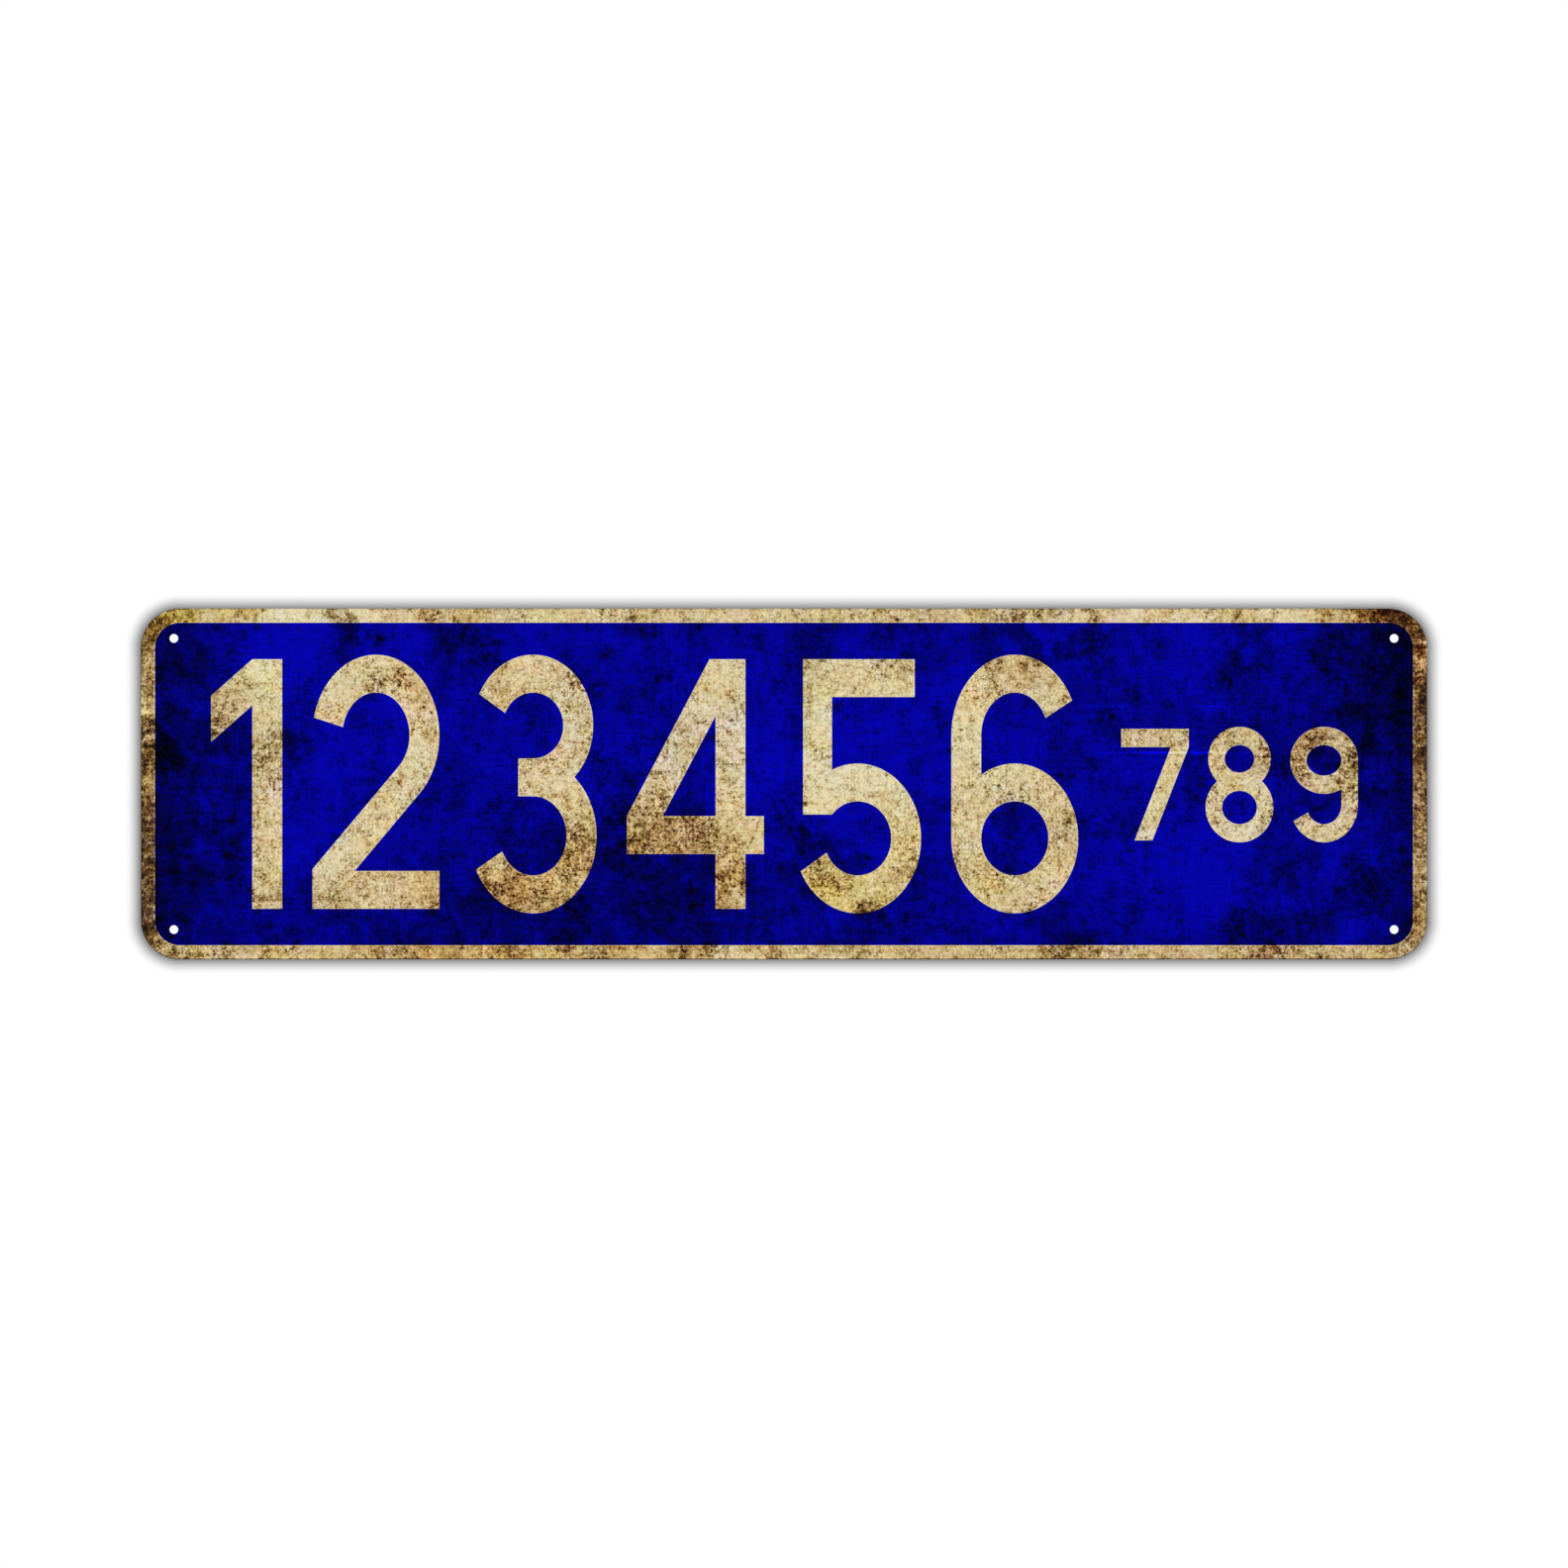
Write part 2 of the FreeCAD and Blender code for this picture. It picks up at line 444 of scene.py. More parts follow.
class SIGN_PG_small(bpy.types.PropertyGroup):
    """The row of small numerals."""

    digits: StringProperty(name="Small numerals", description="What the small row reads", default="789")
    left: length("Left margin", "From the plate's left edge to the first numeral", 319.4)
    width: length("Row width", "From the first numeral's left side to the last one's right side", 77.1)
    foot: length("Foot", "From the plate's bottom edge to the feet of the numerals", 38.8)
    height: length("Height", "Height of the numerals", 36.3)
    digit: length("Numeral width", "Width of one numeral", 22.0)
    stem: length("Stem", "Width of an upright stroke", 5.3)
    bar: length("Bar", "Height of a level stroke", 5.9)


class SIGN_PG_colours(bpy.types.PropertyGroup):
    """The colours of the inks, the grime and the metal."""

    cream: colour("Cream", "The cream ink where it is neither rubbed nor dirty", 206, 185, 138)
    pale_cream: colour("Pale cream", "The cream ink where it is a little rubbed", 226, 210, 166)
    bleached: colour("Bleached cream", "The cream ink where it is rubbed nearly white", 245, 231, 192)
    tan: colour("Tan", "The cream ink under a thin film of grime", 170, 142, 91)
    umber: colour("Umber", "The cream ink under thick grime", 104, 72, 37)
    soot: colour("Soot", "Grime so thick that no ink shows through", 36, 24, 15)
    blue: colour("Blue", "The blue ink where it is neither rubbed nor dirty", 1, 1, 127)
    metal: colour("Metal", "The bare sheet on the back and the cut edges", 186, 187, 188)


class SIGN_PG_stage(bpy.types.PropertyGroup):
    """The studio: how the camera and the lamps stand round the sign."""

    view_width: length("View width", "Width of what the camera sees, at the sign's front", 510.9)
    lens: optics("Lens", "Focal length", 85.0)
    sensor: optics("Sensor", "Width of the sensor", 36.0)
    wall_gap: length("Wall gap", "From the sign's back to the wall behind it", 0.8)
    shadow: length("Shadow width", "How far the soft shadow reaches round the sign", 5.0)
    floor_drop: length("Floor drop", "From the sign's middle down to the floor", 700.0)
    reach: length("Stage reach", "How far the wall and the floor reach from the sign's middle", 4000.0)
    ambient: share("Ambient", "Strength of the light from all round", 0.7, 2.0)


class Wiring:
    """Places nodes in one tree and joins them.

    An input takes a number, a vector, a colour or another node's output.
    """

    STEP_RIGHT, STEP_DOWN, ROWS = 200, 60, 5

    def __init__(self, tree):
        self.tree = tree
        self.column = 0

    def node(self, kind, inputs=None, **settings):
        """A new node to the right of the last one, with its settings and its inputs filled in."""
        new = self.tree.nodes.new(kind)
        new.location = (self.column * self.STEP_RIGHT, -(self.column % self.ROWS) * self.STEP_DOWN)
        self.column += 1
        for name, value in settings.items():
            setattr(new, name, value)
        for name, value in (inputs or {}).items():
            self.fill(new.inputs[name], value)
        return new

    def fill(self, socket, value):
        """Gives an input its value: a link from another node's output, or a number, vector or colour."""
        if isinstance(value, bpy.types.NodeSocket):
            self.tree.links.new(value, socket)
        elif socket.type == "RGBA" and len(value) == 3:
            socket.default_value = (*value, 1.0)
        else:
            socket.default_value = value

    def math(self, operation, *values):
        """One step of arithmetic on up to three numbers."""
        return self.node("ShaderNodeMath", dict(enumerate(values)), operation=operation).outputs[0]

    def vector(self, operation, *values, output="Vector"):
        """One step of vector arithmetic, which gives a vector, or a number where output is Value."""
        new = self.node("ShaderNodeVectorMath", dict(enumerate(values)), operation=operation)
        return new.outputs[output]

    def fade(self, amount):
        """exp(-amount): 1 for nothing, and less the more there is."""
        return self.math("POWER", float(np.exp(-1.0)), amount)

    def parts(self, vector):
        """The X, Y and Z of a vector."""
        return self.node("ShaderNodeSeparateXYZ", {"Vector": vector}).outputs

    def flat(self, across, up):
        """A vector from two numbers, with 0 for its Z."""
        return self.node("ShaderNodeCombineXYZ", {"X": across, "Y": up}).outputs[0]

    def tint(self, red, green, blue):
        """A colour from three numbers in linear light."""
        return self.node("ShaderNodeCombineColor", {"Red": red, "Green": green, "Blue": blue}).outputs[0]

    def noise(self, place, pattern, output="Fac"):
        """Flat fractal noise round 0.5, in one of the patterns that NOISES_MM lists."""
        size, detail, roughness = NOISES_MM[pattern]
        inputs = {"Vector": place, "Scale": 1.0 / (size * MM), "Detail": detail, "Roughness": roughness}
        return self.node("ShaderNodeTexNoise", inputs, noise_dimensions="2D").outputs[output]

    def swing(self, place, pattern):
        """The same noise as a number round 0."""
        return self.math("SUBTRACT", self.noise(place, pattern), 0.5)

    def wander(self, place, pattern):
        """The same noise as a vector round 0."""
        return self.vector("SUBTRACT", self.noise(place, pattern, "Color"), (0.5, 0.5, 0.5))

    def moved(self, place, wander, distance):
        """The place moved across and up by a wandering vector times this distance."""
        return self.vector("MULTIPLY_ADD", wander, (distance, distance, 0.0), place)

    def squeezed(self, place, across, up):
        """The place with its X and Y multiplied, which squeezes a pattern along them."""
        return self.vector("MULTIPLY", place, (across, up, 1.0))

    def smooth(self, value, low, high, to_low=0.0, to_high=1.0):
        """A soft step from to_low, where value is low, to to_high, where it is high."""
        inputs = {"Value": value, "From Min": low, "From Max": high, "To Min": to_low, "To Max": to_high}
        return self.node("ShaderNodeMapRange", inputs, interpolation_type="SMOOTHSTEP").outputs[0]

    def blend(self, factor, first, second, blend_type="MIX"):
        """A mix of two colours: the first where factor is 0, the second where it is 1."""
        new = self.node("ShaderNodeMix", data_type="RGBA", blend_type=blend_type)
        for socket, value in zip((new.inputs[0], new.inputs[6], new.inputs[7]), (factor, first, second)):
            self.fill(socket, value)
        return new.outputs[2]

    def tinted(self, first, second):
        """One colour multiplied by another, part by part."""
        return self.blend(1.0, first, second, "MULTIPLY")

    def ramp(self, value, stops):
        """A colour that goes through the stops, each (place, colour), as value goes from 0 to 1."""
        new = self.node("ShaderNodeValToRGB", {"Fac": value})
        band = new.color_ramp
        for at, shade in stops[1:-1]:
            band.elements.new(at).color = (*shade, 1.0)
        for element, (at, shade) in ((band.elements[0], stops[0]), (band.elements[-1], stops[-1])):
            element.position = at
            element.color = (*shade, 1.0)
        return new.outputs["Color"]


def group_tree(name, inputs, outputs):
    """A new shader node group: its wiring, the sockets that come in and the sockets to fill.

    The sockets are given as name: kind.
    """
    tree = bpy.data.node_groups.new(name, "ShaderNodeTree")
    for socket, kind in inputs.items():
        tree.interface.new_socket(socket, in_out="INPUT", socket_type=f"NodeSocket{kind}")
    for socket, kind in outputs.items():
        tree.interface.new_socket(socket, in_out="OUTPUT", socket_type=f"NodeSocket{kind}")
    wires = Wiring(tree)
    return wires, wires.node("NodeGroupInput").outputs, wires.node("NodeGroupOutput").inputs


def use_group(wires, make, inputs):
    """The outputs of a shared group placed in this tree. It is made the first time it is asked for."""
    name = make.__name__.replace("_", " ")
    if name not in bpy.data.node_groups:
        make(name)
    return wires.node("ShaderNodeGroup", inputs, node_tree=bpy.data.node_groups[name]).outputs


def sheet_place(name):
    """The place on the sheet: across and up, without the depth, so that all layers share one pattern."""
    wires, given, result = group_tree(name, {"Position": "Vector"}, {"Place": "Vector"})
    parts = wires.parts(given["Position"])
    wires.fill(result["Place"], wires.flat(parts["X"], parts["Z"]))


def outline_distance(name):
    """Distance from a rectangle with round corners, in metres: over 0 outside it and under 0 inside.

    With q the place's distance from the two middle lines, less the half sizes, plus the radius, it is
    |max(q, 0)| + min(max(q.x, q.y), 0) - radius.
    """
    sockets = {"Place": "Vector", "Half Width": "Float", "Half Height": "Float", "Radius": "Float"}
    wires, given, result = group_tree(name, sockets, {"Distance": "Float"})
    past = wires.vector("ABSOLUTE", given["Place"])
    past = wires.vector("SUBTRACT", past, wires.flat(given["Half Width"], given["Half Height"]))
    past = wires.vector("ADD", past, wires.flat(given["Radius"], given["Radius"]))
    outside = wires.vector("LENGTH", wires.vector("MAXIMUM", past, (0.0, 0.0, 0.0)), output="Value")
    parts = wires.parts(past)
    inside = wires.math("MINIMUM", wires.math("MAXIMUM", parts["X"], parts["Y"]), 0.0)
    signed = wires.math("SUBTRACT", wires.math("ADD", outside, inside), given["Radius"])
    wires.fill(result["Distance"], signed)


def past_outline(wires, flat, half_width, half_height, radius):
    """How far a place on the sheet lies past an outline with these half sizes and this corner radius."""
    size = {"Place": flat, "Half Width": half_width, "Half Height": half_height, "Radius": radius}
    return use_group(wires, outline_distance, size)["Distance"]


def field_size(settings):
    """Half the width and half the height of the blue field, and the radius of its corners."""
    half_width = PLATE_WIDTH / 2 - settings.border
    half_height = PLATE_HEIGHT / 2 - settings.border
    return half_width, half_height, settings.plate_corner - settings.border


def add_stains(wires, place, stains):
    """The sum of all the stains of a list at a place.

    Each is strength * exp(-d * d), where d is the distance from its centre in terms of its half width and
    half height.
    """
    total = 0.0
    for across, up, half_width, half_height, turn, strength in stains.values():
        centre = np.array([across, up, 0.0]) * MM
        shrink = np.array([1.0 / (half_width * MM), 1.0 / (half_height * MM), 0.0])
        if turn:
            level = {"Vector": place, "Location": centre, "Rotation": (0.0, 0.0, float(np.radians(turn)))}
            offset = wires.node("ShaderNodeMapping", level, vector_type="TEXTURE").outputs[0]
            offset = wires.vector("MULTIPLY", offset, shrink)
        else:
            offset = wires.vector("MULTIPLY_ADD", place, shrink, -centre * shrink)
        fade = wires.fade(wires.vector("DOT_PRODUCT", offset, offset, output="Value"))
        total = wires.math("MULTIPLY_ADD", fade, strength, total)
    return total


def light_left(wires, place, stains, clumping, strength):
    """The share of the light that the stains leave: exp(-marks * strength).

    marks is the stains. Where they darken, it is broken up into clumps, never under LEAST_CLUMP of them.
    """
    clumps = wires.math("MULTIPLY_ADD", wires.swing(place, "clumps"), clumping, 1.0)
    clumps = wires.math("MAXIMUM", clumps, LEAST_CLUMP)
    rubbed = wires.math("MINIMUM", stains, 0.0)
    marks = wires.math("MULTIPLY_ADD", wires.math("MAXIMUM", stains, 0.0), clumps, rubbed)
    return wires.fade(wires.math("MULTIPLY", marks, strength))


def unevenness(wires, place, dirty, amount):
    """Mottle and broader lumps round 0, stronger and a little darker where the sheet is dirty.

    With m the two noises together it is m - MOTTLE_CURVE * m * m - DIRT_DEPTH * dirty. The square holds down
    the light side.
    """
    lumps = wires.swing(wires.squeezed(place, *LUMP_SQUEEZE), "lumps")
    lumps = wires.math("MULTIPLY", lumps, LUMP_SHARE)
    mottle = wires.math("MULTIPLY_ADD", wires.swing(place, "mottle"), MOTTLE_SHARE, lumps)
    mottle = wires.math("MULTIPLY", mottle, wires.math("MULTIPLY_ADD", dirty, DIRTY_MOTTLE, CLEAN_MOTTLE))
    mottle = wires.math("MULTIPLY", mottle, amount)
    uneven = wires.math("MULTIPLY_ADD", wires.math("MULTIPLY", mottle, mottle), -MOTTLE_CURVE, mottle)
    return wires.math("MULTIPLY_ADD", dirty, -DIRT_DEPTH, uneven)


def speckles(wires, place, grain, dirty, coarseness):
    """Fine grain and small blots round 0, coarser where the sheet is dirty, and with dark flecks there."""
    flecks = wires.smooth(wires.noise(place, "flecks"), *FLECK_RANGE)
    specks = wires.math("MULTIPLY_ADD", wires.swing(place, "blots"), BLOT_SHARE, grain)
    specks = wires.math("MULTIPLY", specks, coarseness)
    return wires.math("MULTIPLY_ADD", wires.math("MULTIPLY", flecks, dirty), -FLECK_DEPTH, specks)


def threads(wires, place):
    """Fine level and upright lines round 0, as of a woven cloth."""
    level = wires.noise(wires.squeezed(place, THREAD_SQUEEZE, 1.0), "threads")
    upright = wires.noise(wires.squeezed(place, 1.0, THREAD_SQUEEZE), "threads")
    return wires.math("SUBTRACT", wires.math("ADD", level, upright), 1.0)


def hue_cast(wires, hue, coarseness, place, clouds):
    """How far the grime leans to one hue: a noise, which is coarser where the sheet is dirty, and clouds."""
    lean = wires.math("MULTIPLY", wires.math("SUBTRACT", hue, 0.5), coarseness)
    lean = wires.math("MULTIPLY_ADD", lean, HUE_SPREAD, add_stains(wires, place, clouds))
    return wires.math("ADD", lean, HUE_BASE)


def sign_wear(name):
    """How light or dark and how brown the grime has left each place on the sheet.

    Tone is about 1 for clean ink, lower for dirty and higher for rubbed. It is
    min((CLEAN_TONE + unevenness) * light_left, CEILING_TONE) * exp(-scratches) + threads + speckles, with a
    soft min and with half of the speckles lost under thick grime. Browning and Gilding say how red and how
    yellow the grime is. Grit is the fine grain alone, for roughness and bump.
    """
    amounts = {part: "Float" for part in ("Grain", "Mottle", "Weave", "Stains", "Clumping")}
    levels = {part: "Float" for part in ("Tone", "Browning", "Gilding", "Grit")}
    wires, given, result = group_tree(name, {"Position": "Vector", **amounts}, levels)
    place = use_group(wires, sheet_place, {"Position": given["Position"]})["Place"]

    fray = wires.wander(place, "fray")
    frayed = wires.moved(wires.moved(place, wires.wander(place, "sway"), STAIN_SWAY), fray, STAIN_FRAY)
    ragged = wires.moved(place, fray, PATCH_FRAY)
    nearly_straight = wires.moved(place, fray, SCRATCH_FRAY)
    patches = add_stains(wires, ragged, PATCHES_MM)
    stains = wires.math("ADD", add_stains(wires, frayed, STAINS_MM), patches)
    drops = add_stains(wires, nearly_straight, DROPS_MM)
    scratches = wires.math("ADD", add_stains(wires, nearly_straight, SCRATCHES_MM), drops)

    crowd = wires.math("MULTIPLY_ADD", stains, STAINS_IN_CROWD, wires.noise(place, "crowds"))
    dirty = wires.smooth(crowd, *CROWD_RANGE)
    coarseness = wires.math("ADD", dirty, CLEAN_COARSENESS)
    grain = wires.swing(place, "grain")
    specks = speckles(wires, place, grain, dirty, coarseness)

    left = light_left(wires, place, stains, given["Clumping"], given["Stains"])
    tone = wires.math("ADD", unevenness(wires, place, dirty, given["Mottle"]), CLEAN_TONE)
    tone = wires.math("SMOOTH_MIN", wires.math("MULTIPLY", tone, left), CEILING_TONE, CEILING_SOFTNESS)
    tone = wires.math("MULTIPLY", tone, wires.fade(scratches))
    tone = wires.math("MULTIPLY_ADD", threads(wires, place), given["Weave"], tone)
    shown = wires.math("MULTIPLY", given["Grain"], wires.math("MULTIPLY_ADD", left, 0.5, 0.5))
    wires.fill(result["Tone"], wires.math("MULTIPLY_ADD", specks, shown, tone))

    hues = wires.node("ShaderNodeSeparateColor", {"Color": wires.noise(place, "hues", "Color")}).outputs
    browning = hue_cast(wires, hues["Red"], coarseness, frayed, BROWN_CLOUDS_MM)
    wires.fill(result["Browning"], wires.math("MULTIPLY_ADD", drops, DROP_BROWN, browning))
    wires.fill(result["Gilding"], hue_cast(wires, hues["Green"], coarseness, frayed, GOLD_CLOUDS_MM))
    wires.fill(result["Grit"], wires.math("ADD", grain, 0.5))


def aged_cream(name):
    """Cream ink under grime: its colour for a tone, redder where browned, yellower where gilded.

    It is paler along a rubbed rim.
    """
    shades = bpy.context.scene.sign_colours
    sockets = {part: "Float" for part in ("Tone", "Browning", "Gilding", "Rim")}
    wires, given, result = group_tree(name, sockets, {"Color": "Color"})
    tone = wires.math("MULTIPLY_ADD", given["Rim"], RIM_GAIN, given["Tone"])
    # Each colour with its place on the ramp, as a share of the bleached tone
    stops = (
        (0.1, shades.soot),
        (0.3, shades.umber),
        (0.5, shades.tan),
        (0.65, shades.cream),
        (0.81, shades.pale_cream),
        (1.0, shades.bleached),
    )
    aged = wires.ramp(wires.math("DIVIDE", tone, BLEACHED_TONE), stops)
    for part, cast in (("Browning", BROWN_CAST), ("Gilding", GOLD_CAST)):
        aged = wires.tinted(aged, wires.tint(*(wires.math("POWER", left, given[part]) for left in cast)))
    wires.fill(result["Color"], aged)


def aged_blue(name):
    """Blue ink under grime.

    A display shows it as many times as bright as its tone, which is tone ** DISPLAY_POWER in linear light.
    """
    shades = bpy.context.scene.sign_colours
    wires, given, result = group_tree(name, {"Tone": "Float"}, {"Color": "Color"})
    glow = wires.math("POWER", wires.math("MAXIMUM", given["Tone"], DARKEST_TONE), DISPLAY_POWER)
    wires.fill(result["Color"], wires.tinted(shades.blue, wires.tint(glow, glow, glow)))


def sheet_grain(name):
    """Rolled aluminium: fine lines along the sheet, with smudges. Shade is near 1, and Lines is for bump."""
    wires, given, result = group_tree(name, {"Position": "Vector"}, {"Shade": "Float", "Lines": "Float"})
    place = use_group(wires, sheet_place, {"Position": given["Position"]})["Place"]
    lines = wires.noise(wires.squeezed(place, ROLLING_SQUEEZE, 1.0), "rolling lines")
    shade = wires.math("MULTIPLY_ADD", wires.math("SUBTRACT", lines, 0.5), LINE_SHARE, 1.0)
    shade = wires.math("MULTIPLY_ADD", wires.swing(place, "smudges"), SMUDGE_SHARE, shade)
    wires.fill(result["Shade"], shade)
    wires.fill(result["Lines"], lines)


def empty_tree(owner):
    """The wiring of a material or a world from which the nodes that it starts with are cleared."""
    owner.use_nodes = True
    owner.node_tree.nodes.clear()
    return Wiring(owner.node_tree)


def bare_material(name):
    """A material without a shader: its wiring, the place that patterns read, and the surface to fill."""
    material = bpy.data.materials.new(name)
    wires = empty_tree(material)
    place = wires.node("ShaderNodeTexCoord").outputs["Object"]
    surface = wires.node("ShaderNodeOutputMaterial").inputs["Surface"]
    return material, wires, place, surface


def new_material(name):
    """A material with a Principled shader: its wiring, that shader and the place that patterns read."""
    material, wires, place, surface = bare_material(name)
    shader = wires.node("ShaderNodeBsdfPrincipled")
    wires.fill(surface, shader.outputs[0])
    return material, wires, shader, place


def gritty(wires, grit, roughness):
    """A roughness that goes from the first of the two given to the second as the grit comes up."""
    return wires.smooth(grit, *GRIT_RANGE, *roughness)


def raise_grit(wires, shader, height):
    """Gives a shader the bump of this grain."""
    inputs = {"Strength": BUMP_STRENGTH, "Distance": BUMP_HEIGHT, "Height": height}
    wires.fill(shader.inputs["Normal"], wires.node("ShaderNodeBump", inputs).outputs[0])


def finish_ink(wires, shader, ink, grit):
    """Gives a shader this colour and the satin of old ink, a little rougher and raised where the grit is."""
    shader.inputs["Specular IOR Level"].default_value = INK_SPECULAR
    wires.fill(shader.inputs["Base Color"], ink)
    wires.fill(shader.inputs["Roughness"], gritty(wires, grit, INK_ROUGHNESS))
    raise_grit(wires, shader, grit)


def cream_colour(wires, wear, tone, rim):
    """The colour of the cream ink for this wear and tone, with its rim."""
    inputs = {"Tone": tone, "Browning": wear["Browning"], "Gilding": wear["Gilding"], "Rim": rim}
    return use_group(wires, aged_cream, inputs)["Color"]


def cream_ink():
    """The finish of the numerals. Their rim attribute is 1 on the outline and 0 on the flat top."""
    material, wires, shader, place = new_material("cream ink")
    wear = use_group(wires, sign_wear, {"Position": place, **CREAM_WEAR})
    rim = wires.node("ShaderNodeAttribute", attribute_name="rim").outputs["Fac"]
    finish_ink(wires, shader, cream_colour(wires, wear, wear["Tone"], rim), wear["Grit"])
    return material


def blue_ink():
    """The finish of the field."""
    material, wires, shader, place = new_material("blue ink")
    wear = use_group(wires, sign_wear, {"Position": place, **BLUE_WEAR})
    finish_ink(wires, shader, use_group(wires, aged_blue, {"Tone": wear["Tone"]})["Color"], wear["Grit"])
    return material


def plate_coat(wires, place, wear):
    """The colour of the coat on the plate's front: cream, and blue well inside the border.

    It is darker along the plate's outline, painted shade of the rolled edge with some grime, and more so
    along the lower edge, painted shade of light from above. It is paler along the inner edge of the border.
    """
    settings = bpy.context.scene.sign_print
    flat = use_group(wires, sheet_place, {"Position": place})["Place"]
    past_plate = past_outline(wires, flat, PLATE_WIDTH / 2, PLATE_HEIGHT / 2, settings.plate_corner)
    past_field = past_outline(wires, flat, *field_size(settings))
    # Painted shade of the rolled edge, with some grime: darker along the outline, and more along the lower
    # edge as if lit from above
    hairline = wires.smooth(past_plate, -HAIRLINE, 0.0)
    bottom_edge_shade = wires.smooth(wires.parts(place)["Z"], *BOTTOM_EDGE_SHADE_SPAN)
    depth = wires.math("MULTIPLY_ADD", bottom_edge_shade, -BOTTOM_EDGE_SHADE_DEPTH, -EDGE_SHADE_AND_GRIME_DEPTH)
    tone = wires.math("ADD", wires.math("MULTIPLY", hairline, depth), wear["Tone"])
    cream = cream_colour(wires, wear, tone, wires.smooth(past_field, *PALE_LINE))
    blue = use_group(wires, aged_blue, {"Tone": tone})["Color"]
    return wires.blend(wires.math("LESS_THAN", past_field, -UNDER_FIELD), cream, blue)


def coated_sheet():
    """The finish of the plate: its coat on the front, as far as the rolled edge, and bare metal behind."""
    shades = bpy.context.scene.sign_colours
    material, wires, shader, place = new_material("coated sheet")
    wear = use_group(wires, sign_wear, {"Position": place, **BORDER_WEAR})
    metal = use_group(wires, sheet_grain, {"Position": place})
    bare = wires.tinted(shades.metal, wires.tint(metal["Shade"], metal["Shade"], metal["Shade"]))
    is_bare = wires.smooth(wires.parts(place)["Y"], COAT_END - COAT_FADE, COAT_END + COAT_FADE)

    shader.inputs["Specular IOR Level"].default_value = INK_SPECULAR
    wires.fill(shader.inputs["Base Color"], wires.blend(is_bare, plate_coat(wires, place, wear), bare))
    wires.fill(shader.inputs["Metallic"], is_bare)
    coat_roughness = gritty(wires, wear["Grit"], INK_ROUGHNESS)
    span = wires.math("SUBTRACT", gritty(wires, metal["Lines"], METAL_ROUGHNESS), coat_roughness)
    wires.fill(shader.inputs["Roughness"], wires.math("MULTIPLY_ADD", span, is_bare, coat_roughness))
    raise_grit(wires, shader, metal["Lines"])
    return material


def arc(centre, radii, start, end):
    """Points on an ellipse, for an angle a that goes from start to end in degrees.

    Each is centre + (radii[0] * cos a, radii[1] * sin a).
    """
    steps = int(np.ceil(abs(end - start) / ARC_STEP)) + 1
    angle = np.radians(np.linspace(start, end, steps))
    return np.stack([centre[0] + radii[0] * np.cos(angle), centre[1] + radii[1] * np.sin(angle)], axis=1)


def unit(steps):
    """Each step at length 1."""
    return steps / np.linalg.norm(steps, axis=1, keepdims=True)


def sideways(behind, ahead):
    """The offset that keeps a distance of 1 to the left of both the step behind a point and the step ahead.

    With m and n the left normals of the two steps it is (m + n) / (1 + m . n).
    """
    turn = np.array([[0.0, 1.0], [-1.0, 0.0]])
    first, second = unit(behind) @ turn, unit(ahead) @ turn
    return (first + second) / (1.0 + np.sum(first * second, axis=1, keepdims=True))


def ribbon(line, width, closed=False):
    """A band of one width along a line, as quads.

    Its points are line(t) + s * width / 2 * sideways(t), with s -1 and 1.
    """
    steps = np.roll(line, -1, axis=0) - line if closed else np.diff(line, axis=0)
    if closed:
        ahead, behind = steps, np.roll(steps, 1, axis=0)
    else:
        ahead, behind = np.vstack([steps, steps[-1:]]), np.vstack([steps[:1], steps])
    offset = sideways(behind, ahead) * width / 2
    count = len(line)
    here = np.arange(len(steps))
    there = (here + 1) % count
    quads = np.stack([here, there, there + count, here + count], axis=1)
    return np.vstack([line - offset, line + offset]), quads.tolist()


def ring(centre, radii, width):
    """A band of one width all the way round an ellipse."""
    return ribbon(arc(centre, radii, 0, 360)[:-1], width, closed=True)


def polygon(*corners):
    """A flat shape with straight sides, its corners given anticlockwise."""
    return np.array(corners, float), [list(range(len(corners)))]


def slab(left, right, low, high):
    """A rectangle."""
    return polygon((left, low), (right, low), (right, high), (left, high))


class Cell:
    """The room that one numeral is drawn in, on a base line at 0, and the middle lines of its round strokes.

    top and bottom are the highest and the lowest point of those lines, middle is halfway across, and bend is
    half their width. bowl is half the height of the bowl of a 5, a 6 or a 9. upper and lower are the half
    heights of the small and the large round of a 3 or an 8, which touch at the waist.
    """

    OVERSHOOT = 0.018  # how far round strokes reach past the top and the base line, as a share of the height
    BOWL = 0.3  # half the height of a bowl with its strokes, as a share of the height
    UPPER = 0.235  # half the height of the small round, as a share of the way from bottom to top

    def __init__(self, width, height, stroke):
        self.width, self.height, self.stroke = width, height, stroke
        self.middle = width / 2
        self.bend = width - stroke / 2 - self.middle
        self.top = height + self.OVERSHOOT * height - stroke / 2
        self.bottom = stroke / 2 - self.OVERSHOOT * height
        self.bowl = self.BOWL * height - stroke / 2
        self.upper = self.UPPER * (self.top - self.bottom)
        self.lower = (self.top - self.bottom) / 2 - self.upper

    def top_turn(self, start, end):
        """Part of the circle that fits under the top."""
        return arc((self.middle, self.top - self.bend), (self.bend, self.bend), start, end)

    def bottom_turn(self, start, end):
        """Part of the circle that fits over the bottom."""
        return arc((self.middle, self.bottom + self.bend), (self.bend, self.bend), start, end)

    def bowl_shape(self):
        """The centre and the radii of the bowl."""
        return (self.middle, self.bottom + self.bowl), (self.bend, self.bowl)

    def upper_shape(self, share_of_bend):
        """The centre and the radii of the small round, this much narrower than the large one."""
        return (self.middle, self.top - self.upper), (share_of_bend * self.bend, self.upper)

    def lower_shape(self):
        """The centre and the radii of the large round."""
        return (self.middle, self.bottom + self.lower), (self.bend, self.lower)


